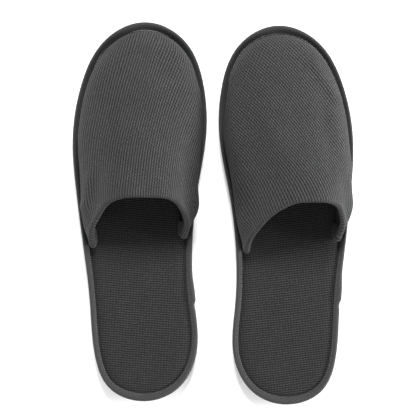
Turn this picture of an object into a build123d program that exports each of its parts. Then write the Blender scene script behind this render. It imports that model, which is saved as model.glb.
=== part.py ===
from build123d import *
import math
import os

# A pair of closed-toe spa slippers. Millimetres, +Z up, toes towards +Y, left slipper on -X.
# Each slipper is first made as a left one in its own foot frame: heel tip at the origin, toe
# towards +Y, big-toe side on +X, outsole's underside at Z 0. The right one is its mirror image.

# --- Overall sizes -----------------------------------------------------------------------
SOLE_LENGTH = 280.0
BALL_WIDTH = 98.6

# --- Layers of the sole, from the ground up ------------------------------------------------
OUTSOLE_THICKNESS = 5.0
BOARD_THICKNESS = 1.0
CUSHION_THICKNESS = 4.0
COVER_THICKNESS = 1.0
TAPE_THICKNESS = 1.0

# --- Edge tape, folded round the sole ------------------------------------------------------
RIM_AT_SIDES = 4.4
RIM_AT_ENDS = 6.0
LOWER_LIP = 9.0
RIM_ROUNDING = 2.0
OUTSOLE_INSET = 1.4
OUTSOLE_EDGE_ROUNDING = 0.8
LAP_LENGTH = 12.0
LAP_THICKNESS = 0.8
LAP_HEIGHT = 0.5

# --- Lockstitch round the tape -------------------------------------------------------------
THREAD_WIDTH = 0.6
THREAD_HEIGHT = 0.4
STITCH_FROM_LIP_EDGE = 0.7

# --- Tread moulded into the outsole --------------------------------------------------------
TREAD_DEPTH = 0.8
TREAD_GROOVE = 2.2
TREAD_PITCH = 9.0
TREAD_MARGIN = 9.0
TREAD_SLOPE = 25.0
TREAD_HEEL = (16.0, 88.0)
TREAD_FOREFOOT = (142.0, 262.0)

# --- Upper ---------------------------------------------------------------------------------
OUTER_THICKNESS = 0.9
FOAM_THICKNESS = 2.5
LINING_THICKNESS = 0.6
SEAM_GAP = 0.5
INSTEP_HEIGHT = 46.0
TOE_BOX_HEIGHT = 27.0
TOE_BOX_ROUNDING = 46.0
ARCH_POWER = 2.3
THROAT_END_HEIGHT = 5.0
HEM_ROUNDING = 0.2
BALL_BULGE = 0.7

# --- The stance of the pair ----------------------------------------------------------------
HEEL_SPACING = 107.3
RIGHT_SETBACK = 2.5

# Outline of the sole, as shares of (BALL_WIDTH, SOLE_LENGTH), clockwise seen from above.
OUTLINE = [
    (0.002, 0.0), (-0.254, 0.035), (-0.366, 0.13), (-0.401, 0.27), (-0.453, 0.42),
    (-0.503, 0.56), (-0.527, 0.70), (-0.459, 0.84), (-0.292, 0.95), (0.021, 1.0),
    (0.313, 0.95), (0.450, 0.84), (0.472, 0.70), (0.409, 0.56), (0.370, 0.42),
    (0.382, 0.27), (0.402, 0.13), (0.266, 0.035),
]
OUTLINE_SAMPLES = 60
SEAM_SAMPLES = 480
GRID_ALONG_SEAM = 25
GRID_UP = 11

# What differs between the two: how each upper has settled, and how each slipper is turned.
LEFT = {
    "name": "left",
    "mirrored": False,
    "turn": 0.0,
    "throat_outer_y": 108.0,
    "throat_inner_y": 115.5,
    "instep_y": 149.7,
    "peak_shift": 5.3,
    "outer_bulge": 1.0,
    "inner_bulge": 8.0,
    "lap_side": 1,
    "lap_y": 80.0,
}
RIGHT = {
    "name": "right",
    "mirrored": True,
    "turn": 1.22,
    "throat_outer_y": 115.0,
    "throat_inner_y": 109.0,
    "instep_y": 148.8,
    "peak_shift": -14.0,
    "outer_bulge": 5.0,
    "inner_bulge": 1.0,
    "lap_side": -1,
    "lap_y": 82.0,
}

LIP_BOTTOM = OUTSOLE_THICKNESS
CAVITY_BOTTOM = OUTSOLE_THICKNESS + BOARD_THICKNESS
CUSHION_TOP = CAVITY_BOTTOM + CUSHION_THICKNESS
FOOTBED = CUSHION_TOP + COVER_THICKNESS
RIM_TOP = FOOTBED + TAPE_THICKNESS


# --- Outlines and flat layers --------------------------------------------------------------
def sole_edge():
    points = [(x * BALL_WIDTH, y * SOLE_LENGTH) for x, y in OUTLINE]
    return Spline(*points, periodic=True)


SOLE_EDGE = sole_edge()


def inset_edge(at_sides, at_ends=None):
    """The sole's outline moved inwards: by at_sides where it faces X, by at_ends where it faces Y."""
    at_ends = at_sides if at_ends is None else at_ends
    points = []
    for i in range(OUTLINE_SAMPLES):
        place = SOLE_EDGE @ (i / OUTLINE_SAMPLES)
        along = SOLE_EDGE % (i / OUTLINE_SAMPLES)
        inwards = Vector(along.Y, -along.X)
        distance = at_sides * inwards.X**2 + at_ends * inwards.Y**2
        points.append(place + inwards * distance)
    return Spline(*points, periodic=True)


def layer(edge, bottom, top):
    """A flat layer with that outline, from height bottom to height top."""
    return extrude(Pos(0, 0, bottom) * make_face(edge), top - bottom)


def top_and_bottom(part):
    faces = part.faces().sort_by(Axis.Z)
    return faces[0].edges() + faces[-1].edges()


def make_outsole():
    sole = layer(inset_edge(OUTSOLE_INSET), 0, OUTSOLE_THICKNESS)
    sole = fillet(sole.faces().sort_by(Axis.Z)[0].edges(), OUTSOLE_EDGE_ROUNDING)
    return sole - thread_ring(OUTSOLE_THICKNESS - THREAD_HEIGHT) - make_tread()


def make_tread():
    """Chevron grooves under the heel and the ball of the foot, which stop short of the edge."""
    arm_length = BALL_WIDTH / 2 / math.cos(math.radians(TREAD_SLOPE))
    arms = []
    for start, end in (TREAD_HEEL, TREAD_FOREFOOT):
        for row in range(int((end - start) / TREAD_PITCH) + 1):
            for side in (-1, 1):
                arm = Rectangle(arm_length, TREAD_GROOVE, align=(Align.MIN, Align.CENTER))
                turned = Rot(0, 0, 90 - side * (90 + TREAD_SLOPE)) * arm
                arms.append(Pos(0, start + row * TREAD_PITCH) * turned)
    pattern = Sketch() + arms
    pattern = pattern & make_face(inset_edge(TREAD_MARGIN))
    return extrude(pattern, TREAD_DEPTH)


def make_board():
    return layer(inset_edge(LOWER_LIP), LIP_BOTTOM, CAVITY_BOTTOM)


def make_cushion():
    return layer(inset_edge(TAPE_THICKNESS), CAVITY_BOTTOM, CUSHION_TOP)


def make_cover():
    return layer(inset_edge(TAPE_THICKNESS), CUSHION_TOP, FOOTBED)


def make_edge_tape(slipper):
    """The tape folded round the sole's edge, with its end lapped over its start."""
    roll = layer(inset_edge(0), LIP_BOTTOM, RIM_TOP)
    roll = fillet(top_and_bottom(roll), RIM_ROUNDING)
    lap = layer(inset_edge(-LAP_THICKNESS), LIP_BOTTOM, RIM_TOP + LAP_HEIGHT)
    lap = fillet(top_and_bottom(lap), RIM_ROUNDING)
    window = Box(BALL_WIDTH, LAP_LENGTH, 2 * RIM_TOP)
    lap = lap & Pos(slipper["lap_side"] * BALL_WIDTH / 2, slipper["lap_y"], RIM_TOP) * window
    tape = roll + lap
    tape -= layer(inset_edge(TAPE_THICKNESS), CAVITY_BOTTOM, FOOTBED)
    tape -= layer(inset_edge(LOWER_LIP), LIP_BOTTOM, CAVITY_BOTTOM)
    return tape - layer(inset_edge(RIM_AT_SIDES, RIM_AT_ENDS), FOOTBED, RIM_TOP + LAP_HEIGHT)


def thread_ring(bottom):
    """One thread of the lockstitch, all the way round, with its underside at that height."""
    outer = STITCH_FROM_LIP_EDGE + THREAD_WIDTH
    rim = layer(
        inset_edge(RIM_AT_SIDES - outer, RIM_AT_ENDS - outer), bottom, bottom + THREAD_HEIGHT
    )
    inner = STITCH_FROM_LIP_EDGE
    return rim - layer(
        inset_edge(RIM_AT_SIDES - inner, RIM_AT_ENDS - inner), bottom, bottom + THREAD_HEIGHT
    )


def make_needle_thread(slipper):
    """The thread seen on top of the rim, cut away where the tape's lap covers it."""
    window = Box(BALL_WIDTH, LAP_LENGTH, 2 * RIM_TOP)
    lap = Pos(slipper["lap_side"] * BALL_WIDTH / 2, slipper["lap_y"], RIM_TOP) * window
    return thread_ring(RIM_TOP) - lap


# --- Upper ---------------------------------------------------------------------------------
def seam_line():
    """Where the upper stands on the footbed: all the way round, in order."""
    edge = inset_edge(RIM_AT_SIDES + SEAM_GAP, RIM_AT_ENDS + SEAM_GAP)
    places = [edge @ (i / SEAM_SAMPLES) for i in range(SEAM_SAMPLES)]
    return [(place.X, place.Y) for place in places]


SEAM = seam_line()
TOE = max(range(SEAM_SAMPLES), key=lambda i: SEAM[i][1])
OUTER_SEAM = SEAM[: TOE + 1]
INNER_SEAM = [SEAM[0]] + SEAM[: TOE - 1 : -1]
TOE_Y = SEAM[TOE][1]


def seam_at(side, y):
    """The X of the seam on one side of the foot, at that Y."""
    for (near_x, near_y), (far_x, far_y) in zip(side, side[1:]):
        if near_y <= y <= far_y and far_y > near_y:
            return near_x + (far_x - near_x) * (y - near_y) / (far_y - near_y)
    return side[-1][0]


def ridge_height(slipper, y):
    """The height of the upper's ridge line above the footbed, at that Y."""
    round_start = TOE_Y - TOE_BOX_ROUNDING
    slope = (INSTEP_HEIGHT - TOE_BOX_HEIGHT) / (round_start - slipper["instep_y"])
    height = INSTEP_HEIGHT - slope * (y - slipper["instep_y"])
    if y > round_start:
        share = min(1.0, (y - round_start) / TOE_BOX_ROUNDING)
        height = height * (1 - share**ARCH_POWER) ** (1 / ARCH_POWER)
    return height


def settle(slipper, x, y, rise, up):
    """Where a point of the plain arch ends up once the upper has leant and bulged."""
    share = rise / INSTEP_HEIGHT
    fade = 1 / (1 + math.exp((y - slipper["instep_y"] - 26) / 9))
    side = math.sin(math.pi * min(1.0, share / 0.7)) ** 2 * (1 - up**4)
    middle = (seam_at(OUTER_SEAM, y) + seam_at(INNER_SEAM, y)) / 2
    if x < middle:
        x -= side * (BALL_BULGE + slipper["outer_bulge"] * fade)
    else:
        x += side * (BALL_BULGE + slipper["inner_bulge"] * fade)
    lean = slipper["peak_shift"] * (0.25 + 0.75 * fade)
    return Vector(x + lean * share**1.5, y, FOOTBED + rise)


def throat_at(slipper, along):
    """A point of the throat edge's plan and its height, from the outer end to the inner end."""
    low = THROAT_END_HEIGHT / INSTEP_HEIGHT
    first = math.asin(low ** (ARCH_POWER / 2))
    angle = first + (math.pi - 2 * first) * along
    cosine, sine = math.cos(angle), math.sin(angle)
    share = sine ** (2 / ARCH_POWER)
    low_y = slipper["throat_outer_y"] * (1 + cosine) / 2
    low_y += slipper["throat_inner_y"] * (1 - cosine) / 2
    y = low_y + (slipper["instep_y"] - low_y) * share
    outer, inner = seam_at(OUTER_SEAM, y), seam_at(INNER_SEAM, y)
    across = math.copysign(abs(cosine) ** (2 / ARCH_POWER), cosine)
    return (outer + inner) / 2 - (inner - outer) / 2 * across, y


def seam_from_to(slipper):
    """The points of the seam from the throat's outer end, round the toe, to its inner end."""
    outer_y, inner_y = throat_at(slipper, 0)[1], throat_at(slipper, 1)[1]
    outer = [place for place in OUTER_SEAM if place[1] > outer_y + 2]
    inner = [place for place in INNER_SEAM if place[1] > inner_y + 2]
    start, end = (seam_at(OUTER_SEAM, outer_y), outer_y), (seam_at(INNER_SEAM, inner_y), inner_y)
    return Spline(start, *outer[::6], *inner[-2::-6], end)


def upper_point(slipper, seam, along, up, settled=True):
    """A point of the upper's outside: along the seam 0 to 1, and up from the seam 0 to 1."""
    foot_x, foot_y = (seam @ along).X, (seam @ along).Y
    if foot_y < TOE_Y - TOE_BOX_ROUNDING / 2:
        foot_x = seam_at(OUTER_SEAM if along < 0.5 else INNER_SEAM, foot_y)
    throat_x, throat_y = throat_at(slipper, along)
    share = up**ARCH_POWER
    x = foot_x + (throat_x - foot_x) * share
    y = foot_y + (throat_y - foot_y) * share
    outer, inner = seam_at(OUTER_SEAM, y), seam_at(INNER_SEAM, y)
    across = abs(x - (outer + inner) / 2) / max((inner - outer) / 2, 1e-6)
    rise = max(0.0, 1 - min(1.0, across) ** ARCH_POWER) ** (1 / ARCH_POWER)
    rise = rise * ridge_height(slipper, y) if up > 0 else 0.0
    return settle(slipper, x, y, rise, up) if settled else Vector(x, y, FOOTBED + rise)


def plain_difference(slipper, seam, near, far):
    """The step between two points of the arch before it has leant and bulged."""
    first = upper_point(slipper, seam, *near, settled=False)
    return upper_point(slipper, seam, *far, settled=False) - first


def upper_normal(slipper, seam, along, up):
    """The direction out of the plain arch at that point, level where it meets the footbed."""
    step = 0.004
    before, after = max(along - step, 0), min(along + step, 1)
    run = plain_difference(slipper, seam, (before, up), (after, up))
    if up <= 0:
        return Vector(-run.Y, run.X, 0).normalized()
    rise = plain_difference(slipper, seam, (along, up - step), (along, min(up + step, 1)))
    return rise.cross(run).normalized()


def closer_at_ends(share):
    """Even steps from 0 to 1, drawn together towards both ends."""
    return 0.5 * share + 0.25 - 0.25 * math.cos(math.pi * share)


def upper_layers(slipper):
    """The four faces between the upper's layers, outermost first, and the hem's two bends."""
    seam = seam_from_to(slipper)
    depths = [0, OUTER_THICKNESS, OUTER_THICKNESS + FOAM_THICKNESS]
    depths.append(depths[-1] + LINING_THICKNESS)
    grids = [[] for depth in depths]
    bends = []
    for i in range(GRID_ALONG_SEAM):
        along = closer_at_ends(i / (GRID_ALONG_SEAM - 1))
        rows = [[] for depth in depths]
        for j in range(GRID_UP):
            up = j / (GRID_UP - 1)
            place = upper_point(slipper, seam, along, up)
            out = upper_normal(slipper, seam, along, up)
            for row, depth in zip(rows, depths):
                row.append(place - out * depth)
        for grid, row in zip(grids, rows):
            grid.append(row)
        bends.append(hem_bend(slipper, seam, along, place, out))
    faces = [Face.make_surface_from_array_of_points(grid, min_deg=3) for grid in grids]
    return faces, [Spline(*side).edge() for side in zip(*reversed(bends))]


def hem_bend(slipper, seam, along, place, out):
    """The two bends of the outer fabric, where it is turned over the throat edge."""
    before, after = max(along - 0.004, 0), min(along + 0.004, 1)
    run = upper_point(slipper, seam, after, 1) - upper_point(slipper, seam, before, 1)
    over = out.cross(run).normalized() * -OUTER_THICKNESS
    through = OUTER_THICKNESS + FOAM_THICKNESS + LINING_THICKNESS
    inward = out * -through
    return place + over + inward * HEM_ROUNDING, place + over + inward * (1 - HEM_ROUNDING)


def side_edges(face):
    """A layer face's edges: at the seam, at the throat, and at its outer and inner ends."""
    edges = face.edges().sort_by(lambda edge: edge.bounding_box().max.Z)
    ends = ShapeList(edges[:-1]).sort_by(lambda edge: edge.length)[:2]
    ends = ends.sort_by(lambda edge: edge.center().X)
    seam = ShapeList(edges[:-1]).sort_by(lambda edge: edge.length)[-1]
    return seam, edges[-1], ends[0], ends[1]


def stretch(first, second):
    """The ruled face between two edges which run the same way."""
    return Face.make_surface_from_curves(first, second)


def closed(faces):
    """The solid bounded by those faces."""
    return Solid(Shell(faces))


def sheet_between(outside, inside):
    """The solid between two layer faces, closed by ruled faces at its four sides."""
    sides = [stretch(a, b) for a, b in zip(side_edges(outside), side_edges(inside))]
    return closed([outside, inside] + sides)


def outer_with_hem(layers, bends):
    """The outer fabric, turned over the throat edge of the foam and the lining."""
    outside, inside, lining_outside, lining_inside = layers
    edges = [side_edges(face) for face in layers]
    throat = [edge[1] for edge in edges]
    faces = [outside, inside]
    faces += [stretch(edges[0][side], edges[1][side]) for side in (0, 2, 3)]
    turned = [throat[0], bends[0], bends[1], throat[3], throat[2], throat[1]]
    faces += [stretch(first, second) for first, second in zip(turned, turned[1:])]
    for end in (0, 1):
        corners = [edge @ end for edge in (throat[0], bends[0], bends[1], throat[3])]
        faces.append(make_face(Polyline(*corners, close=True)).face())
    return closed(faces)


def make_upper(slipper):
    """The three layers of the upper: outer fabric with its hem, foam, and lining."""
    layers, bends = upper_layers(slipper)
    foam = sheet_between(layers[1], layers[2])
    lining = sheet_between(layers[2], layers[3])
    return outer_with_hem(layers, bends), foam, lining


# --- The pair ------------------------------------------------------------------------------
def make_slipper(slipper):
    """Every piece of one slipper, by name, in the left slipper's foot frame."""
    outer, foam, lining = make_upper(slipper)
    return {
        "outsole": make_outsole(),
        "insole_board": make_board(),
        "insole_foam": make_cushion(),
        "insole_cover": make_cover(),
        "edge_binding": make_edge_tape(slipper),
        "needle_thread": make_needle_thread(slipper),
        "bobbin_thread": thread_ring(OUTSOLE_THICKNESS - THREAD_HEIGHT),
        "upper_outer": outer,
        "upper_foam": foam,
        "upper_lining": lining,
    }


def stand(slipper, part):
    """The piece where it stands in the pair, mirrored for the right foot."""
    if slipper["mirrored"]:
        heel = (HEEL_SPACING / 2, -RIGHT_SETBACK)
        part = mirror(part, about=Plane.YZ)
    else:
        heel = (-HEEL_SPACING / 2, 0)
    return Pos(*heel) * Rot(0, 0, slipper["turn"]) * part


def main():
    pair = {}
    for slipper in (LEFT, RIGHT):
        for name, part in make_slipper(slipper).items():
            pair[slipper["name"] + "_" + name] = stand(slipper, part)
    boxes = [part.bounding_box() for part in pair.values()]
    middle_x = (min(box.min.X for box in boxes) + max(box.max.X for box in boxes)) / 2
    middle_y = (min(box.min.Y for box in boxes) + max(box.max.Y for box in boxes)) / 2
    os.makedirs("parts", exist_ok=True)
    for name, part in pair.items():
        export_step(Pos(-middle_x, -middle_y) * part, f"parts/{name}.step")


main()
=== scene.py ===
import math

import bpy
import numpy as np
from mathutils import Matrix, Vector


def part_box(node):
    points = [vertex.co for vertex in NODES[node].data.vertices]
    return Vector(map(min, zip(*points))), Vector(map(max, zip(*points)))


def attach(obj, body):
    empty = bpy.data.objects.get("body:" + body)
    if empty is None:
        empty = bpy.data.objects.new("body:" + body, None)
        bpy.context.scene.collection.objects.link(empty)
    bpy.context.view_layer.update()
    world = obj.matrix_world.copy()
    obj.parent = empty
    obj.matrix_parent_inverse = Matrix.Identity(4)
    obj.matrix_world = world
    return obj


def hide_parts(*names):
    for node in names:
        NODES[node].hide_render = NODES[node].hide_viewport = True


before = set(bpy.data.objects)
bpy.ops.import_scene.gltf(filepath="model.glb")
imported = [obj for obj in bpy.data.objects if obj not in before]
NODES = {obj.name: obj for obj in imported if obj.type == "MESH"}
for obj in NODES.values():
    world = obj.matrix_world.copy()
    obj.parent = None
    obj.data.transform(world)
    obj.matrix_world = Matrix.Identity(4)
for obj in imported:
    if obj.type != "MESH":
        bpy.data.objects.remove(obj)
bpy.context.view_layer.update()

# A pair of charcoal spa slippers. Lengths are millimetres in each slipper's foot frame (heel tip
# at the origin, toe towards +Y, big-toe side on +X, ground at Z 0) and become metres in place().

MM = 0.001

# --- The sole ------------------------------------------------------------------------------
SOLE_LENGTH = 280.0
BALL_WIDTH = 98.6
FOOTBED = 11.0
RIM_AT_SIDES = 4.4
RIM_AT_ENDS = 6.0
SEAM_GAP = 0.5
COVER_TUCK = 1.4
STITCH_PITCH = 3.1
OUTLINE = [
    (0.002, 0.0), (-0.254, 0.035), (-0.366, 0.13), (-0.401, 0.27), (-0.453, 0.42),
    (-0.503, 0.56), (-0.527, 0.70), (-0.459, 0.84), (-0.292, 0.95), (0.021, 1.0),
    (0.313, 0.95), (0.450, 0.84), (0.472, 0.70), (0.409, 0.56), (0.370, 0.42),
    (0.382, 0.27), (0.402, 0.13), (0.266, 0.035),
]

# --- The upper -----------------------------------------------------------------------------
INSTEP_HEIGHT = 46.0
TOE_BOX_HEIGHT = 27.0
TOE_BOX_ROUNDING = 46.0
ARCH_POWER = 2.3
THROAT_END_HEIGHT = 5.0
PADDING = 3.6
OUTER_BULGE = 2.6
INNER_BULGE = 4.2
THROAT_HOLD = 0.8
THROAT_REACH = 8.0
HEM_RADIUS = 2.1
HEM_TURNED_IN = 9.0
DITCH = 1.6
UNDER_UPPER = (106, 126)

# --- The weave -----------------------------------------------------------------------------
UPPER_RIB = 1.85
UPPER_CROSS = 2.2
INSOLE_ROW = 1.7
INSOLE_CROSS = 2.1
TAPE_RIB = 1.6
UPPER_RELIEF = 0.16
INSOLE_RELIEF = 0.13
TAPE_RELIEF = 0.07

# Each slipper's own shape. outer_y and inner_y are where the throat meets the two sides,
# instep_y is the throat's middle, lean is how far the instep tips inwards, and each fold is a
# line from x, y to x, y with its width and how far it stands out. Angles are in degrees.
LEFT = {
    "name": "left", "side": 1, "turn": 0.0,
    "outer_y": 109.5, "inner_y": 116.5, "instep_y": 152.9,
    "lean": 5.3, "outer_bulge": 1.2, "inner_bulge": 5.0,
    "outer_corner": 1.25, "inner_corner": 1.4,
    "folds": [
        (-38.5, 166.0, -43.0, 144.0, 3.0, 1.3), (-43.0, 144.0, -43.0, 118.0, 3.0, 1.1),
        (-31.0, 168.0, -36.0, 138.0, 6.0, -1.0), (36.0, 190.0, 33.0, 160.0, 6.0, -0.9),
    ],
    "rib_angle": 12.0, "rib_angle_at_throat": 8.0, "insole_turn": 3.0,
    "lap_side": 1, "lap_y": 80.0, "seed": 3,
}
RIGHT = {
    "name": "right", "side": -1, "turn": 1.22,
    "outer_y": 116.5, "inner_y": 110.5, "instep_y": 151.2,
    "lean": -13.0, "outer_bulge": 4.5, "inner_bulge": 1.0,
    "outer_corner": 1.45, "inner_corner": 0.9,
    "folds": [
        (-24.0, 250.0, -40.0, 224.0, 3.5, 1.0), (-38.0, 212.0, -43.0, 172.0, 6.5, 1.8),
        (-30.0, 228.0, -36.0, 190.0, 6.0, -0.7), (-38.0, 150.0, -36.0, 128.0, 5.0, -0.9),
    ],
    "rib_angle": 35.0, "rib_angle_at_throat": 12.0, "insole_turn": 4.3,
    "lap_side": -1, "lap_y": 82.0, "seed": 8,
}
FINE = 1.0


# --- Curves --------------------------------------------------------------------------------
def closed_curve(points, count):
    """That many points, evenly spaced, on the smooth closed curve through those points."""
    ring = np.vstack([points, points[:1]])
    knots = np.r_[0, np.cumsum(np.hypot(*np.diff(ring, axis=0).T))]
    gaps = np.diff(knots)
    slopes = np.diff(ring, axis=0) / gaps[:, None]
    size = len(gaps)
    matrix = np.zeros((size, size))
    for i in range(size):
        matrix[i, i - 1] += gaps[i - 1]
        matrix[i, i] += 2 * (gaps[i - 1] + gaps[i])
        matrix[i, (i + 1) % size] += gaps[i]
    bends = np.linalg.solve(matrix, 6 * (slopes - np.roll(slopes, 1, axis=0)))
    bends = np.vstack([bends, bends[:1]])
    at = np.linspace(0, knots[-1], 6000)
    i = np.clip(np.searchsorted(knots, at, side="right") - 1, 0, size - 1)
    gap, near, far = gaps[i][:, None], (knots[i + 1] - at)[:, None], (at - knots[i])[:, None]
    curve = bends[i] * near**3 / (6 * gap) + bends[i + 1] * far**3 / (6 * gap)
    curve += (ring[i] / gap - bends[i] * gap / 6) * near
    curve += (ring[i + 1] / gap - bends[i + 1] * gap / 6) * far
    return evenly(curve, count + 1)[:-1]


def evenly(curve, count):
    """That many points, evenly spaced, along a fine polyline."""
    along = np.r_[0, np.cumsum(np.linalg.norm(np.diff(curve, axis=0), axis=1))]
    at = np.linspace(0, along[-1], count)
    return np.stack([np.interp(at, along, curve[:, k]) for k in range(curve.shape[1])], axis=1)


EDGE_COUNT = int(1080 * FINE)
EDGE = closed_curve(np.array(OUTLINE) * (BALL_WIDTH, SOLE_LENGTH), EDGE_COUNT)
EDGE_ALONG = np.roll(EDGE, -1, axis=0) - np.roll(EDGE, 1, axis=0)
EDGE_ALONG /= np.linalg.norm(EDGE_ALONG, axis=1)[:, None]
EDGE_IN = np.stack([EDGE_ALONG[:, 1], -EDGE_ALONG[:, 0]], axis=1)
EDGE_STEP = np.linalg.norm(EDGE[1] - EDGE[0])
EDGE_LENGTH = EDGE_STEP * EDGE_COUNT


def inset(at_sides, at_ends):
    """The sole's outline moved inwards: by at_sides where it faces X, by at_ends where it faces Y."""
    distance = at_sides * EDGE_IN[:, 0] ** 2 + at_ends * EDGE_IN[:, 1] ** 2
    return EDGE + EDGE_IN * distance[:, None]


def sides_of(ring):
    """A closed outline's outer and inner sides, each as (y, x) from the heel to the toe."""
    heel, toe = ring[:, 1].argmin(), ring[:, 1].argmax()
    ring, toe = np.roll(ring, -heel, axis=0), (toe - heel) % len(ring)
    outer, inner = ring[: toe + 1], np.vstack([ring[toe:], ring[:1]])[::-1]
    return [(side[:, 1], side[:, 0]) for side in (outer, inner)]


SEAM_SIDES = sides_of(inset(RIM_AT_SIDES + SEAM_GAP, RIM_AT_ENDS + SEAM_GAP))
TOE_Y = SEAM_SIDES[0][0][-1]


def across_sole(y, sides=SEAM_SIDES):
    """The middle and half the width of the sole inside the seam, at those Y."""
    outer, inner = (np.interp(y, *side) for side in sides)
    return (outer + inner) / 2, (inner - outer) / 2


# --- Soft irregularity ---------------------------------------------------------------------
def ripple(points, scale, seed):
    """Smooth hills and hollows from -1 to 1, about scale millimetres apart, the same each run."""
    dice = np.random.default_rng(seed)
    total = np.zeros(points.shape[:-1])
    for _ in range(7):
        direction = dice.normal(size=points.shape[-1])
        direction /= np.linalg.norm(direction)
        wave = 2 * math.pi / (scale * dice.uniform(0.8, 1.9))
        total += np.sin(points @ direction * wave + dice.uniform(0, 6.3))
    return total / 4.2


def bump_at(value, middle, width):
    return np.exp(-(((value - middle) / width) ** 2))


def smooth_step(value, low, high):
    share = np.clip((value - low) / (high - low), 0, 1)
    return share * share * (3 - 2 * share)


# --- Meshes --------------------------------------------------------------------------------
def heel_of(slipper):
    """Where the slipper's heel tip is in the pair, from the CAD tape's box."""
    low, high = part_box(slipper["name"] + "_edge_binding")
    turned = turn_over(slipper, EDGE)
    y_low = low[1] / MM - turned[:, 1].min()
    middle = (low[0] + high[0]) / 2 / MM - (turned[:, 0].min() + turned[:, 0].max()) / 2
    return np.array([middle, y_low + 0.1])


def turn_over(slipper, points):
    """Foot-frame points turned as the slipper stands, and mirrored for the right foot."""
    angle = math.radians(slipper["turn"])
    x, y = points[..., 0] * slipper["side"], points[..., 1]
    turned = np.array(points, float)
    turned[..., 0] = x * math.cos(angle) - y * math.sin(angle)
    turned[..., 1] = x * math.sin(angle) + y * math.cos(angle)
    return turned


def place(slipper, points):
    """Foot-frame millimetres as metres in the pair's frame."""
    placed = turn_over(slipper, points)
    placed[..., :2] += heel_of(slipper)
    return placed * MM


def grid_faces(rows, columns, close_rows=False, close_columns=False):
    """Quads over a grid, turned so that columns crossed with rows is their outward side."""
    i = np.arange(rows if close_rows else rows - 1)
    j = np.arange(columns if close_columns else columns - 1)
    i, j = np.meshgrid(i, j, indexing="ij")
    i2, j2 = (i + 1) % rows, (j + 1) % columns
    corners = [i * columns + j, i * columns + j2, i2 * columns + j2, i2 * columns + j]
    return np.stack(corners, axis=-1).reshape(-1, 4)


def make_mesh(name, slipper, points, faces, weave=None):
    """A smooth mesh object from foot-frame points. weave holds each point's place in the cloth."""
    if slipper["side"] < 0:
        faces = faces[:, ::-1]
    mesh = bpy.data.meshes.new(name)
    mesh.vertices.add(len(points))
    mesh.vertices.foreach_set("co", place(slipper, points).ravel())
    width = faces.shape[1]
    mesh.loops.add(faces.size)
    mesh.loops.foreach_set("vertex_index", faces.ravel().astype(np.int32))
    mesh.polygons.add(len(faces))
    mesh.polygons.foreach_set("loop_start", np.arange(0, faces.size, width, dtype=np.int32))
    mesh.update(calc_edges=True)
    if weave is not None:
        layer = mesh.uv_layers.new(name="Weave")
        layer.data.foreach_set("uv", weave[faces.ravel()].ravel().astype(np.float32))
    mesh.validate()
    mesh.shade_smooth()
    piece = bpy.data.objects.new(name, mesh)
    bpy.context.collection.objects.link(piece)
    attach(piece, slipper["name"] + "_slipper")
    return piece


def normals_of(grid):
    """Unit normals of a grid of points: its columns' direction crossed with its rows'."""
    rows, columns = np.gradient(grid, axis=0), np.gradient(grid, axis=1)
    out = np.cross(columns, rows)
    return out / np.maximum(np.linalg.norm(out, axis=-1, keepdims=True), 1e-9)


def weave_height(a, b, rib, cross):
    """The relief of a waffle weave, -1 to 1: ribs across a, crossed more weakly along b."""
    ribs = np.cos(2 * math.pi * a / rib)
    return 0.7 * ribs + 0.3 * np.cos(2 * math.pi * b / cross) * (0.6 + 0.4 * ribs)


# --- The upper's shape ---------------------------------------------------------------------
def ridge_height(slipper, y):
    round_start = TOE_Y - TOE_BOX_ROUNDING
    slope = (INSTEP_HEIGHT - TOE_BOX_HEIGHT) / (round_start - slipper["instep_y"])
    height = INSTEP_HEIGHT - slope * (y - slipper["instep_y"])
    share = np.clip((y - round_start) / TOE_BOX_ROUNDING, 0, 1)
    return height * (1 - share**ARCH_POWER) ** (1 / ARCH_POWER)


def arch(slipper, y, angle):
    """A point of the plain arch: at that Y, angle 0 at the outer seam to pi at the inner one."""
    middle, half = across_sole(y)
    cosine, sine = np.cos(angle), np.maximum(np.sin(angle), 0)
    x = middle - half * np.sign(cosine) * np.abs(cosine) ** (2 / ARCH_POWER)
    return np.stack([x, y, ridge_height(slipper, y) * sine ** (2 / ARCH_POWER)], axis=-1)


def settle(slipper, points, edge):
    """Leans and bulges the plain arch. edge is 1 at the throat and falls to 0 away from it."""
    x, y, rise = points[..., 0], points[..., 1], points[..., 2]
    share = rise / INSTEP_HEIGHT
    back = 1 / (1 + np.exp((y - slipper["instep_y"] - 26) / 9))
    slack = 1 / (1 + np.exp((y - slipper["instep_y"] - 3) / 7))
    middle, half = across_sole(y)
    outwards = np.clip((x - middle) / np.maximum(half, 1), -1, 1)
    low = np.sin(math.pi * np.clip(share / 0.7, 0, 1)) ** 2 * (1 - THROAT_HOLD * edge)
    outer = OUTER_BULGE + slipper["outer_bulge"] * slack
    inner = INNER_BULGE + slipper["inner_bulge"] * slack
    push = np.where(outwards < 0, -outer, inner) * low * smooth_step(np.abs(outwards), 0.1, 0.8)
    lean = slipper["lean"] * (0.25 + 0.75 * back) * share**1.5
    settled = points.copy()
    settled[..., 0] += push + lean
    tuck = 1.1 * np.exp(-((rise / 1.6) ** 2))
    settled[..., 0] -= outwards * tuck
    settled[..., 1] -= tuck * smooth_step(y, TOE_Y - 30, TOE_Y)
    settled[..., 2] += FOOTBED - DITCH * np.exp(-((rise / 2.2) ** 2))
    return settled


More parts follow.
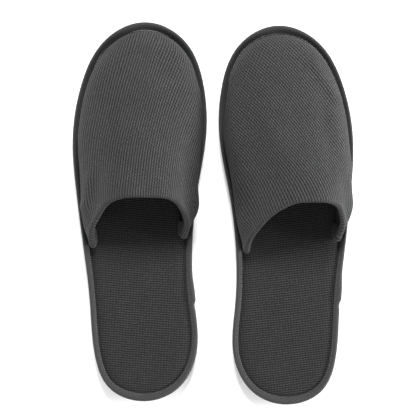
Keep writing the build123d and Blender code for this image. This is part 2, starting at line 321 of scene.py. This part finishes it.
def upper_grid(slipper, rows, columns):
    """The outside of the upper, rows from the throat to the toe, columns from side to side."""
    fine = np.linspace(0, math.pi, 2000)
    section = arch(slipper, np.full_like(fine, slipper["instep_y"] + 10), fine)
    along = np.r_[0, np.cumsum(np.linalg.norm(np.diff(section, axis=0), axis=1))]
    angle = np.interp(np.linspace(0, along[-1], columns), along, fine)
    sine = np.maximum(np.sin(angle), 0) ** (2 / ARCH_POWER)
    low = THROAT_END_HEIGHT / INSTEP_HEIGHT
    end_drop = np.clip(1 - sine / low, 0, 1) * 3.0
    low_y = slipper["outer_y"] * (1 + np.cos(angle)) / 2
    low_y += slipper["inner_y"] * (1 - np.cos(angle)) / 2
    corner = slipper["outer_corner"]
    corner += (slipper["inner_corner"] - corner) * smooth_step(angle, 0.35 * math.pi, 0.65 * math.pi)
    climb = 1 - (1 - np.maximum(sine, low)) ** corner
    throat = low_y + (slipper["instep_y"] - low_y) * climb + end_drop
    ridge_y = np.linspace(slipper["instep_y"], TOE_Y, 3000)
    rise = ridge_height(slipper, ridge_y)
    ridge = np.r_[0, np.cumsum(np.hypot(np.diff(ridge_y), np.diff(rise)))]
    share = np.interp(np.linspace(0, ridge[-1], rows), ridge, ridge_y)
    share = (share - ridge_y[0]) / (TOE_Y - ridge_y[0])
    y = throat[None, :] + (TOE_Y - throat[None, :]) * share[:, None]
    plain = arch(slipper, y, np.broadcast_to(angle, y.shape))
    edge = bump_at(y, throat[None, :], THROAT_REACH)
    points = settle(slipper, plain, edge)
    return points, plain, y, np.broadcast_to(angle, y.shape)


def cloth_coordinates(slipper, y, angle):
    """Each point's place in the upper's flat cloth, across and along the ribs."""
    table_y = np.linspace(95, TOE_Y, 260)
    table_angle = np.linspace(0, math.pi, 361)
    grid_y, grid_angle = np.meshgrid(table_y, table_angle, indexing="ij")
    section = arch(slipper, grid_y, grid_angle)
    around = np.cumsum(np.linalg.norm(np.diff(section, axis=1), axis=2), axis=1)
    around = np.concatenate([np.zeros((len(table_y), 1)), around], axis=1)
    around -= around[:, 180:181]
    row = np.interp(y, table_y, np.arange(len(table_y)))
    column = angle / math.pi * 360
    i, j = np.minimum(row.astype(int), 258), np.minimum(column.astype(int), 359)
    u, v = row - i, column - j
    near = around[i, j] * (1 - v) + around[i, j + 1] * v
    far = around[i + 1, j] * (1 - v) + around[i + 1, j + 1] * v
    x = near * (1 - u) + far * u
    rise = ridge_height(slipper, table_y)
    ridge = np.r_[0, np.cumsum(np.hypot(np.diff(table_y), np.diff(rise)))]
    length = np.interp(y, table_y, ridge)
    lean = slipper["rib_angle"] + (
        slipper["rib_angle_at_throat"] - slipper["rib_angle"]
    ) * np.exp(-(((table_y - slipper["instep_y"]) / 30) ** 2))
    drift = np.r_[0, np.cumsum(np.tan(np.radians(lean[1:])) * np.diff(ridge))]
    turn = math.radians(slipper["rib_angle"])
    across = (x - np.interp(y, table_y, drift)) * math.cos(turn)
    return across, x * math.sin(turn) + length * math.cos(turn)


# --- The upper's pieces --------------------------------------------------------------------
def make_upper(slipper):
    """The outer cloth with its rolled hem, the foam inside it and the lining."""
    name = slipper["name"]
    rows, columns = int(296 * FINE), int(300 * FINE)
    points, plain, y, angle = upper_grid(slipper, rows, columns)
    points = points + soften(slipper, points, plain)[..., None] * normals_of(points)
    out = normals_of(points)
    a, b = cloth_coordinates(slipper, y, angle)
    at_seam = smooth_step(plain[..., 2], 1.5, 8.0)
    relief = UPPER_RELIEF * weave_height(a, b, UPPER_RIB, UPPER_CROSS) * at_seam
    from_edge = np.linalg.norm(points - points[0], axis=-1)
    relief *= 0.35 + 0.65 * smooth_step(from_edge, 0.0, 5.0)
    skin = points + out * relief[..., None]
    roll, roll_place = hem_roll(points, out, a, b)
    grid = np.concatenate([roll, skin], axis=0)
    weave = np.concatenate([roll_place, np.stack([a, b], axis=-1)], axis=0)
    faces = grid_faces(*grid.shape[:2])
    cloth = make_mesh(
        f"{name}_upper_cloth", slipper, grid.reshape(-1, 3), faces, weave.reshape(-1, 2)
    )
    cloth.data.materials.append(cloth_material("upper"))
    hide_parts(f"{name}_upper_outer")

    coarse = (slice(None, None, 3), slice(None, None, 3))
    base, normal = points[coarse], out[coarse]
    inner = base - normal * (PADDING + 0.5)
    lining = make_mesh(
        f"{name}_upper_lining_cloth", slipper, inner.reshape(-1, 3),
        grid_faces(*inner.shape[:2])[:, ::-1], np.stack([a, b], axis=-1)[coarse].reshape(-1, 2),
    )
    lining.data.materials.append(cloth_material("lining"))
    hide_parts(f"{name}_upper_lining")

    body = (slice(2, None, 6), slice(2, -2, 6))
    outside = points[body] - out[body] * 0.7
    inside = points[body] - out[body] * (PADDING - 0.1)
    foam = closed_slab(f"{name}_upper_padding", slipper, outside, inside)
    foam.data.materials.append(foam_material())
    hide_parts(f"{name}_upper_foam")


def soften(slipper, points, plain):
    """How far the padded cloth stands off the plain shape, in slow swells and soft folds."""
    swell = 0.8 * ripple(points, 46, slipper["seed"])
    swell += 0.28 * ripple(points, 19, slipper["seed"] + 1)
    for x0, y0, x1, y1, width, height in slipper["folds"]:
        start, run = np.array([x0, y0]), np.array([x1 - x0, y1 - y0])
        share = np.clip((points[..., :2] - start) @ run / (run @ run), 0, 1)
        gap = np.linalg.norm(points[..., :2] - start - share[..., None] * run, axis=-1)
        swell += height * bump_at(gap, 0, width)
    return swell * smooth_step(plain[..., 2], 1.0, 10.0)


def hem_roll(points, out, a, b):
    """The hem's rows, from where it ends inside the upper, round the throat's edge."""
    edge, normal = points[0], out[0]
    back = points[0] - points[3]
    back -= normal * (back * normal).sum(axis=-1, keepdims=True)
    back /= np.linalg.norm(back, axis=-1, keepdims=True)
    at_end = np.abs(np.linspace(-1, 1, len(edge))) ** 6
    radius = (HEM_RADIUS * (1 + 0.35 * at_end))[:, None]
    middle = edge - normal * radius
    rows, places = [], []
    turned_in = np.linspace(HEM_TURNED_IN, 0.6, int(10 * FINE))
    for depth in turned_in:
        row = min(int(depth / 0.55 * FINE), len(points) - 1)
        rows.append(points[row] - out[row] * 2 * radius)
        places.append(np.stack([a[row], 2 * b[0] - b[row] - 2 * HEM_RADIUS * math.pi], axis=-1))
    for turn in np.linspace(math.pi, 0, int(16 * FINE))[:-1]:
        rows.append(middle + radius * (normal * math.cos(turn) + back * math.sin(turn)))
        places.append(np.stack([a[0], b[0] - HEM_RADIUS * turn], axis=-1))
    return np.array(rows), np.array(places)


def closed_slab(name, slipper, outside, inside):
    """A closed solid between two grids of the same size."""
    rows, columns = outside.shape[:2]
    count = rows * columns
    top = grid_faces(rows, columns)
    index = np.arange(count).reshape(rows, columns)
    ring = np.concatenate([index[0], index[1:, -1], index[-1, -2::-1], index[-2:0:-1, 0]])
    after = np.roll(ring, -1)
    sides = np.stack([after, ring, ring + count, after + count], axis=-1)
    faces = np.vstack([top, top[:, ::-1] + count, sides])
    points = np.vstack([outside.reshape(-1, 3), inside.reshape(-1, 3)])
    return make_mesh(name, slipper, points, faces)


# --- The sole's pieces ---------------------------------------------------------------------
def make_insole(slipper):
    """The waffle-weave cover, softly crowned, on its foam cushion."""
    name = slipper["name"]
    ring = inset(RIM_AT_SIDES - COVER_TUCK, RIM_AT_ENDS - COVER_TUCK)
    sides = sides_of(ring)
    heel_y, toe_y = sides[0][0][0], sides[0][0][-1]
    spread = np.linspace(0, 1, int(470 * FINE))
    shares = 0.5 - 0.5 * np.cos(math.pi * spread)
    shares = 0.72 * spread + 0.28 * shares
    y = heel_y + 0.02 + (toe_y - heel_y - 0.04) * shares
    across = np.linspace(-1, 1, int(196 * FINE))
    middle, half = across_sole(y, sides)
    x = middle[:, None] + half[:, None] * across[None, :]
    y = np.broadcast_to(y[:, None], x.shape)
    inside = distance_inside(x, y, ring)
    height = FOOTBED - 0.35 + 0.9 * smooth_step(inside, 0.0, 9.0)
    height -= 0.75 * np.exp(-((inside / 2.2) ** 2))
    height -= (DITCH + 0.3) * smooth_step(y, *UNDER_UPPER) * np.exp(-((inside / 3.2) ** 2))
    flat = np.stack([x, y, height], axis=-1)
    height = height + 0.22 * ripple(flat[..., :2], 38, slipper["seed"] + 5)
    turn = math.radians(slipper["insole_turn"])
    bow = 1.6 * np.sin(x / 23 + 0.6) + 0.9 * ripple(flat[..., :2], 60, slipper["seed"] + 6)
    a = y * math.cos(turn) + x * math.sin(turn) + 0.5 * bow
    b = x * math.cos(turn) - y * math.sin(turn)
    relief = INSOLE_RELIEF * weave_height(a, b, INSOLE_ROW, INSOLE_CROSS)
    height = height + relief * smooth_step(inside, 0.5, 3)
    points = np.stack([x, y, height], axis=-1)
    faces = grid_faces(*x.shape)
    cover = make_mesh(
        f"{name}_footbed_cloth", slipper, points.reshape(-1, 3), faces,
        np.stack([a, b], axis=-1).reshape(-1, 2),
    )
    cover.data.materials.append(cloth_material("insole"))
    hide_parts(f"{name}_insole_cover")
    make_cushion(slipper)


def distance_inside(x, y, ring):
    """How far each point is inside a closed outline, roughly, up to 12 mm."""
    near = np.full(x.shape, 12.0)
    middle, half = across_sole(y, sides_of(ring))
    side = np.minimum(x - (middle - half), (middle + half) - x)
    near = np.minimum(near, side)
    for low, high in ((0, 70), (215, 282)):
        rows = (y[:, 0] >= low) & (y[:, 0] <= high)
        span = (ring[:, 1] >= low - 14) & (ring[:, 1] <= high + 14)
        points = ring[span]
        for row in np.nonzero(rows)[0]:
            gap = np.hypot(x[row][:, None] - points[:, 0], y[row][:, None] - points[:, 1]).min(axis=1)
            near[row] = np.minimum(12.0, gap)
    return near


def make_cushion(slipper):
    """The foam under the cover: a closed pad with softened edges.

    Its section is (depth in from the sole's edge, height), from the underside to the top.
    """
    name = slipper["name"]
    profile = [
        (30.0, 6.2), (2.4, 6.2), (1.6, 6.8), (1.5, 7.6),
        (2.6, 8.2), (6.0, 8.6), (10.0, 9.8), (30.0, 10.0),
    ]
    step = max(1, int(4 * FINE))
    rings = []
    for depth, height in profile:
        ring = inset(depth, depth)[::step]
        rings.append(np.column_stack([ring, np.full(len(ring), height)]))
    count = len(rings[0])
    faces = grid_faces(len(rings), count, close_columns=True)[:, ::-1]
    j = np.arange(count // 2 - 1)
    under = np.stack([j, j + 1, count - 2 - j, count - 1 - j], axis=-1)
    over = under[:, ::-1] + (len(rings) - 1) * count
    faces = np.vstack([faces, under, over])
    pad = make_mesh(f"{name}_footbed_cushion", slipper, np.vstack(rings), faces)
    pad.data.materials.append(foam_material())
    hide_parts(f"{name}_insole_foam")


def tape_profile():
    """The tape's section as (share of the rim's width inwards, height), out from the lip's edge."""
    over = [
        (1.00, 9.9), (0.99, 10.5), (0.95, 10.95), (0.86, 11.3), (0.72, 11.7), (0.55, 12.05),
        (0.38, 12.2), (0.22, 12.05), (0.10, 11.5), (0.03, 10.6), (0.0, 9.4), (0.0, 8.2),
        (0.02, 7.0), (0.08, 6.1), (0.20, 5.4), (0.36, 5.08), (0.60, 5.02), (1.00, 5.02),
        (1.60, 5.02), (2.00, 5.04),
    ]
    under = [
        (2.00, 5.5), (1.20, 5.6), (0.62, 5.7), (0.34, 6.6), (0.30, 8.4), (0.42, 9.4), (0.70, 9.7),
    ]
    return np.array(over), np.array(under)


def lap_at(slipper):
    """How far the lapped tape end stands out, at each point round the edge."""
    on_lap_side = EDGE[:, 0] * slipper["lap_side"] > 0
    from_lap = np.where(on_lap_side, EDGE[:, 1] - slipper["lap_y"], 999)
    swell = 1.1 * smooth_step(from_lap, -8.5, -5.0) * (1 - smooth_step(from_lap, 0.0, 17.0))
    pinch = 0.35 * bump_at(from_lap, -10.0, 2.6)
    return swell - pinch


def make_edge_tape(slipper):
    """The soft roll of tape round the sole, puckered by its stitches and lapped at its end."""
    name = slipper["name"]
    over, under = tape_profile()
    over = evenly(smooth_profile(over), int(40 * FINE))
    profile = np.vstack([over, under])
    along = np.arange(EDGE_COUNT) * EDGE_STEP
    width = RIM_AT_SIDES * EDGE_IN[:, 0] ** 2 + RIM_AT_ENDS * EDGE_IN[:, 1] ** 2
    lap = lap_at(slipper)
    stitch = np.cos(2 * math.pi * along / stitch_spacing())
    stitch *= 1 - 0.85 * smooth_step(EDGE[:, 1], *UNDER_UPPER)
    wandering = np.stack([np.cos(along / 18), np.sin(along / 23), along / 60], axis=-1)
    slow = ripple(wandering, 1.7, slipper["seed"])
    share, height = profile[:, 0][None, :], profile[:, 1][None, :]
    depth = share * width[:, None]
    on_outside = (np.arange(len(profile)) < len(over))[None, :]
    top = smooth_step(height, 9.0, 11.0) * on_outside
    at_lip = top * bump_at(share, 0.95, 0.22)
    depth = depth + 0.20 * at_lip * stitch[:, None] + 0.12 * top * slow[:, None]
    depth = depth - lap[:, None] * (1 - smooth_step(share, 0.3, 1.0)) * on_outside
    pucker = -0.20 * bump_at(share, 0.74, 0.2) * smooth_step(stitch, -0.2, 1.0)[:, None]
    rise = height + top * (0.35 * lap[:, None] + 0.10 * slow[:, None] + pucker)
    rise = rise - tape_drop(EDGE[:, 1:], share) * smooth_step(height, 9.0, 9.9)
    place_along = np.broadcast_to(along[:, None], depth.shape)
    section = np.r_[0, np.cumsum(np.hypot(np.diff(profile[:, 0]) * 4.8, np.diff(profile[:, 1])))]
    place_over = np.broadcast_to(section[None, :], depth.shape)
    flat = EDGE[:, None, :] + EDGE_IN[:, None, :] * depth[..., None]
    points = np.concatenate([flat, rise[..., None]], axis=-1)
    bias = place_along * math.cos(0.5) + place_over * math.sin(0.5)
    weave = np.stack([bias, place_over * math.cos(0.5) - place_along * math.sin(0.5)], axis=-1)
    relief = TAPE_RELIEF * weave_height(weave[..., 0], weave[..., 1], TAPE_RIB, TAPE_RIB)
    relief *= on_outside
    points = points - normals_of(points) * relief[..., None]
    faces = grid_faces(*points.shape[:2], close_rows=True, close_columns=True)[:, ::-1]
    tape = make_mesh(
        f"{name}_edge_tape", slipper, points.reshape(-1, 3), faces, weave.reshape(-1, 2)
    )
    tape.data.materials.append(cloth_material("tape"))
    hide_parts(f"{name}_edge_binding")


def tape_drop(y, share):
    """How far the tape's inner half is pulled down beside the upper."""
    return (DITCH + 0.7) * smooth_step(y, *UNDER_UPPER) * smooth_step(share, 0.12, 1.0)


def smooth_profile(corners):
    """A fine smooth line through the section's corners."""
    knots = np.r_[0, np.cumsum(np.hypot(np.diff(corners[:, 0]) * 4.8, np.diff(corners[:, 1])))]
    at = np.linspace(0, knots[-1], 600)
    line = np.stack([np.interp(at, knots, corners[:, k]) for k in (0, 1)], axis=1)
    kernel = np.hanning(31) / np.hanning(31).sum()
    padded = np.pad(line, ((15, 15), (0, 0)), mode="edge")
    return np.stack([np.convolve(padded[:, k], kernel, mode="valid") for k in (0, 1)], axis=1)


def stitch_spacing():
    """The stitch pitch that fits a whole number of times round the edge."""
    return EDGE_LENGTH / round(EDGE_LENGTH / STITCH_PITCH)


def make_stitches(slipper):
    """The needle thread's stitches, each a short plump run of thread sunk into the lip."""
    name = slipper["name"]
    count = round(EDGE_LENGTH / STITCH_PITCH)
    dice = np.random.default_rng(slipper["seed"])
    lap = lap_at(slipper)
    around, length = 8, 9
    turn = np.linspace(0, 2 * math.pi, around, endpoint=False)
    run = np.linspace(-1, 1, length)
    thick = 0.30 * np.sqrt(np.maximum(1 - run**4, 0.02))
    points, faces = [], []
    tile = grid_faces(length, around, close_columns=True)[:, ::-1]
    cap = np.array([(0, 1, 2, 3), (0, 3, 4, 7), (4, 5, 6, 7)])
    tile = np.vstack([tile, cap, cap[:, ::-1] + (length - 1) * around])
    for k in range(count):
        i = int((k + 0.5) * stitch_spacing() / EDGE_STEP) % EDGE_COUNT
        width = RIM_AT_SIDES * EDGE_IN[i, 0] ** 2 + RIM_AT_ENDS * EDGE_IN[i, 1] ** 2
        middle = EDGE[i] + EDGE_IN[i] * (width * 0.80)
        skew = EDGE_ALONG[i] + EDGE_IN[i] * dice.normal(0, 0.05)
        height = 11.52 + 0.35 * lap[i] - 0.16 * run**2 - tape_drop(EDGE[i, 1], 0.95)
        ring = np.zeros((length, around, 3))
        ring[..., :2] = middle + run[:, None, None] * 1.15 * skew
        ring[..., :2] += EDGE_IN[i] * (thick[:, None] * np.cos(turn))[..., None]
        ring[..., 2] = height[:, None] + thick[:, None] * np.sin(turn)
        points.append(ring.reshape(-1, 3))
        faces.append(tile + k * length * around)
    thread = make_mesh(f"{name}_needle_stitches", slipper, np.vstack(points), np.vstack(faces))
    thread.data.materials.append(thread_material())
    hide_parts(f"{name}_needle_thread")


# --- Materials -----------------------------------------------------------------------------
class Nodes:
    """A material's node tree, with short calls to add nodes and link them."""

    def __init__(self, name):
        self.material = bpy.data.materials.new(name)
        self.material.use_nodes = True
        self.tree = self.material.node_tree
        self.shader = self.tree.nodes["Principled BSDF"]

    def add(self, kind, **settings):
        node = self.tree.nodes.new("ShaderNode" + kind)
        for key, value in settings.items():
            setattr(node, key, value)
        return node

    def link(self, source, target):
        self.tree.links.new(source, target)

    def math(self, operation, first, second=0.0):
        node = self.add("Math", operation=operation)
        for socket, value in zip(node.inputs, (first, second)):
            if isinstance(value, (int, float)):
                socket.default_value = value
            else:
                self.link(value, socket)
        return node.outputs[0]

    def noise(self, scale, detail=3.0, roughness=0.6, vector=None):
        node = self.add("TexNoise")
        node.inputs["Scale"].default_value = scale
        node.inputs["Detail"].default_value = detail
        node.inputs["Roughness"].default_value = roughness
        self.link(vector or self.place(), node.inputs["Vector"])
        return node.outputs["Fac"]

    def place(self):
        return self.add("TexCoord").outputs["Object"]

    def ramp(self, value, stops):
        node = self.add("ValToRGB")
        elements = node.color_ramp.elements
        for element, (position, colour) in zip(elements, stops):
            element.position, element.color = position, (*colour, 1)
        for position, colour in stops[2:]:
            element = elements.new(position)
            element.color = (*colour, 1)
        self.link(value, node.inputs["Fac"])
        return node.outputs["Color"]

    def bump(self, height, strength, distance, below=None):
        node = self.add("Bump")
        node.inputs["Strength"].default_value = strength
        node.inputs["Distance"].default_value = distance
        self.link(height, node.inputs["Height"])
        if below is not None:
            self.link(below, node.inputs["Normal"])
        return node.outputs["Normal"]


# Each cloth's yarns: groove albedo, darkened as painted shade in the weave's recesses, and the
# lighter crest albedo, pitch across and along (mm), how much of the pattern is rib, how far each row
# is staggered and how flecked the yarn is.
CLOTHS = {
    "upper": {
        "groove_shade": 0.003, "light": 0.036, "rib": UPPER_RIB, "cross": UPPER_CROSS,
        "share": 0.70, "stagger": 0.5, "fleck": 0.55,
    },
    "lining": {
        "groove_shade": 0.018, "light": 0.032, "rib": 1.1, "cross": 1.1,
        "share": 0.5, "stagger": 0.0, "fleck": 0.2,
    },
    "insole": {
        "groove_shade": 0.0006, "light": 0.0200, "rib": INSOLE_ROW, "cross": INSOLE_CROSS,
        "share": 0.74, "stagger": 0.0, "fleck": 0.50,
    },
    "tape": {
        "groove_shade": 0.020, "light": 0.034, "rib": TAPE_RIB, "cross": TAPE_RIB,
        "share": 0.5, "stagger": 0.0, "fleck": 0.14,
    },
}


def cloth_material(kind):
    """Charcoal cloth: the weave's grooves darkened with painted shade, its crests lighter; fuzzy,
    slightly uneven.
    """
    made = bpy.data.materials.get(f"charcoal_{kind}_weave")
    if made:
        return made
    look = CLOTHS[kind]
    cloth = Nodes(f"charcoal_{kind}_weave")
    weave = cloth.add("UVMap", uv_map="Weave").outputs["UV"]
    split = cloth.add("SeparateXYZ")
    cloth.link(weave, split.inputs[0])
    wander = cloth.math("MULTIPLY", cloth.math("SUBTRACT", cloth.noise(420.0), 0.5), 0.9)
    ribs = cloth.math("MULTIPLY", cloth.math("ADD", split.outputs["X"], wander), 1 / look["rib"])
    rows = cloth.math("MULTIPLY", cloth.math("ADD", split.outputs["Y"], wander), 1 / look["cross"])
    rows = cloth.math("ADD", rows, cloth.math("MULTIPLY", ribs, look["stagger"]))
    waves = [
        cloth.math("COSINE", cloth.math("MULTIPLY", turns, 2 * math.pi)) for turns in (ribs, rows)
    ]
    height = cloth.math("MULTIPLY", waves[0], look["share"])
    height = cloth.math("ADD", height, cloth.math("MULTIPLY", waves[1], 1 - look["share"]))
    height = cloth.math("MULTIPLY", cloth.math("ADD", height, 1.0), 0.5)
    # Painted shade: the weave's grooves get the darker groove albedo, its crests the yarn's lighter
    # tone.
    groove_shade, light = look["groove_shade"], look["light"]
    tint = cloth.ramp(
        height,
        [(0.12, (groove_shade, groove_shade, groove_shade * 1.02)), (0.86, (light, light * 1.005, light * 1.03))],
    )
    fleck = look["fleck"]
    melange = cloth.ramp(
        cloth.noise(1500.0, 2.0), [(0.32, (1 - fleck,) * 3), (0.70, (1 + 1.2 * fleck,) * 3)]
    )
    patches = cloth.ramp(cloth.noise(38.0, 2.0), [(0.30, (0.93,) * 3), (0.70, (1.06,) * 3)])
    colour = tint
    for layer in (melange, patches):
        mix = cloth.add("Mix", data_type="RGBA", blend_type="MULTIPLY")
        mix.inputs["Factor"].default_value = 1.0
        cloth.link(colour, mix.inputs["A"])
        cloth.link(layer, mix.inputs["B"])
        colour = mix.outputs["Result"]
    cloth.link(colour, cloth.shader.inputs["Base Color"])
    rough = cloth.math("MULTIPLY", cloth.noise(700.0), 0.14)
    rough = cloth.math("SUBTRACT", 0.97, rough)
    cloth.link(rough, cloth.shader.inputs["Roughness"])
    fuzz = cloth.bump(cloth.noise(2600.0, 4.0, 0.7), 0.35, 0.00012)
    cloth.link(cloth.bump(height, 0.75, 0.00022, fuzz), cloth.shader.inputs["Normal"])
    cloth.shader.inputs["Sheen Weight"].default_value = 0.03
    cloth.shader.inputs["Sheen Roughness"].default_value = 0.55
    cloth.shader.inputs["Specular IOR Level"].default_value = 0.25
    return cloth.material


def thread_material():
    made = bpy.data.materials.get("sewing_thread")
    if made:
        return made
    thread = Nodes("sewing_thread")
    plies = thread.noise(1500.0, 2.0)
    tint = thread.ramp(plies, [(0.3, (0.010,) * 3), (0.7, (0.030,) * 3)])
    thread.link(tint, thread.shader.inputs["Base Color"])
    rough = thread.math("SUBTRACT", 0.75, thread.math("MULTIPLY", plies, 0.3))
    thread.link(rough, thread.shader.inputs["Roughness"])
    thread.link(thread.bump(plies, 0.5, 0.0001), thread.shader.inputs["Normal"])
    return thread.material


def foam_material():
    made = bpy.data.materials.get("open_cell_foam")
    if made:
        return made
    foam = Nodes("open_cell_foam")
    cells = foam.add("TexVoronoi", feature="DISTANCE_TO_EDGE")
    cells.inputs["Scale"].default_value = 1400.0
    foam.link(foam.place(), cells.inputs["Vector"])
    distance = cells.outputs["Distance"]
    tint = foam.ramp(distance, [(0.0, (0.40,) * 3), (0.3, (0.22,) * 3)])
    foam.link(tint, foam.shader.inputs["Base Color"])
    foam.link(foam.bump(distance, 0.6, 0.0003), foam.shader.inputs["Normal"])
    rough = foam.math("ADD", 0.85, foam.math("MULTIPLY", distance, 0.2))
    foam.link(rough, foam.shader.inputs["Roughness"])
    return foam.material


def rubber_material():
    """Moulded charcoal EVA foam: fine skin grain, slightly scuffed."""
    eva = Nodes("moulded_eva")
    grain = eva.noise(1300.0, 3.0, 0.65)
    scuffs = eva.noise(60.0, 5.0, 0.7)
    eva.link(
        eva.ramp(scuffs, [(0.35, (0.030, 0.030, 0.032)), (0.72, (0.052, 0.052, 0.055))]),
        eva.shader.inputs["Base Color"],
    )
    rough = eva.math("ADD", 0.55, eva.math("MULTIPLY", scuffs, 0.3))
    eva.link(rough, eva.shader.inputs["Roughness"])
    eva.link(eva.bump(grain, 0.4, 0.00025), eva.shader.inputs["Normal"])
    return eva.material


def board_material():
    """Pressed insole board: pale brown fibres."""
    board = Nodes("pressed_board")
    fibres = board.noise(900.0, 6.0, 0.75)
    board.link(
        board.ramp(fibres, [(0.3, (0.20, 0.16, 0.11)), (0.7, (0.38, 0.32, 0.24))]),
        board.shader.inputs["Base Color"],
    )
    rough = board.math("ADD", 0.8, board.math("MULTIPLY", fibres, 0.15))
    board.link(rough, board.shader.inputs["Roughness"])
    board.link(board.bump(fibres, 0.4, 0.0002), board.shader.inputs["Normal"])
    return board.material


def dress(node, material):
    """Gives a CAD node that material in place of its own."""
    NODES[node].data.materials.clear()
    NODES[node].data.materials.append(material)


# --- Stage ---------------------------------------------------------------------------------
def make_floor():
    """Pale paper just below the soles, with a slight glow that keeps it white."""
    mesh = bpy.data.meshes.new("studio_floor")
    reach, drop = 4.0, 0.0002
    corners = [(-reach, -reach), (reach, -reach), (reach, reach), (-reach, reach)]
    mesh.from_pydata([(x, y, -drop) for x, y in corners], [], [(0, 1, 2, 3)])
    floor = bpy.data.objects.new("studio_floor", mesh)
    bpy.context.collection.objects.link(floor)
    paper = Nodes("pale_paper")
    tone = paper.noise(3.0, 2.0)
    tint = paper.ramp(tone, [(0.3, (0.93,) * 3), (0.7, (0.95,) * 3)])
    paper.link(tint, paper.shader.inputs["Base Color"])
    paper.shader.inputs["Roughness"].default_value = 0.9
    paper.shader.inputs["Emission Color"].default_value = (1, 1, 1, 1)
    paper.shader.inputs["Emission Strength"].default_value = 0.10
    mesh.materials.append(paper.material)


def add_softbox(name, place_at, size, power):
    data = bpy.data.lights.new(name, "AREA")
    data.shape, data.energy = "RECTANGLE", power
    data.size, data.size_y = size
    lamp = bpy.data.objects.new(name, data)
    lamp.location = place_at
    lamp.rotation_euler = (-lamp.location).to_track_quat("-Z", "Y").to_euler()
    bpy.context.collection.objects.link(lamp)


def light_stage():
    world = bpy.data.worlds.new("studio")
    world.use_nodes = True
    background = world.node_tree.nodes["Background"]
    background.inputs["Color"].default_value = (1, 1, 1, 1)
    background.inputs["Strength"].default_value = 0.38
    bpy.context.scene.world = world
    add_softbox("toe_softbox", (0.1, 2.2, 2.3), (0.9, 0.8), 165)
    add_softbox("right_softbox", (2.3, 0.15, 0.55), (1.2, 0.4), 122)
    add_softbox("left_softbox", (-2.3, 0.15, 0.55), (1.2, 0.4), 36)
    add_softbox("heel_softbox", (0.0, -2.3, 0.9), (1.6, 0.6), 42)
    bpy.context.scene.view_settings.view_transform = "Standard"


def add_camera():
    """Straight above the pair, with a long lens, toes at the top of the picture."""
    picture_width, height = 0.3102, 3.0
    data = bpy.data.cameras.new("camera")
    data.sensor_width = 36.0
    data.lens = data.sensor_width * (height - 0.008) / picture_width
    data.clip_end = 20
    camera = bpy.data.objects.new("camera", data)
    camera.location = (-0.00225, 0.00248, height)
    bpy.context.collection.objects.link(camera)
    bpy.context.scene.camera = camera


# --- The pair ------------------------------------------------------------------------------
def main():
    rubber, board = rubber_material(), board_material()
    for slipper in (LEFT, RIGHT):
        make_upper(slipper)
        make_insole(slipper)
        make_edge_tape(slipper)
        make_stitches(slipper)
        dress(slipper["name"] + "_outsole", rubber)
        dress(slipper["name"] + "_insole_board", board)
        dress(slipper["name"] + "_bobbin_thread", thread_material())
    make_floor()
    light_stage()
    add_camera()


main()
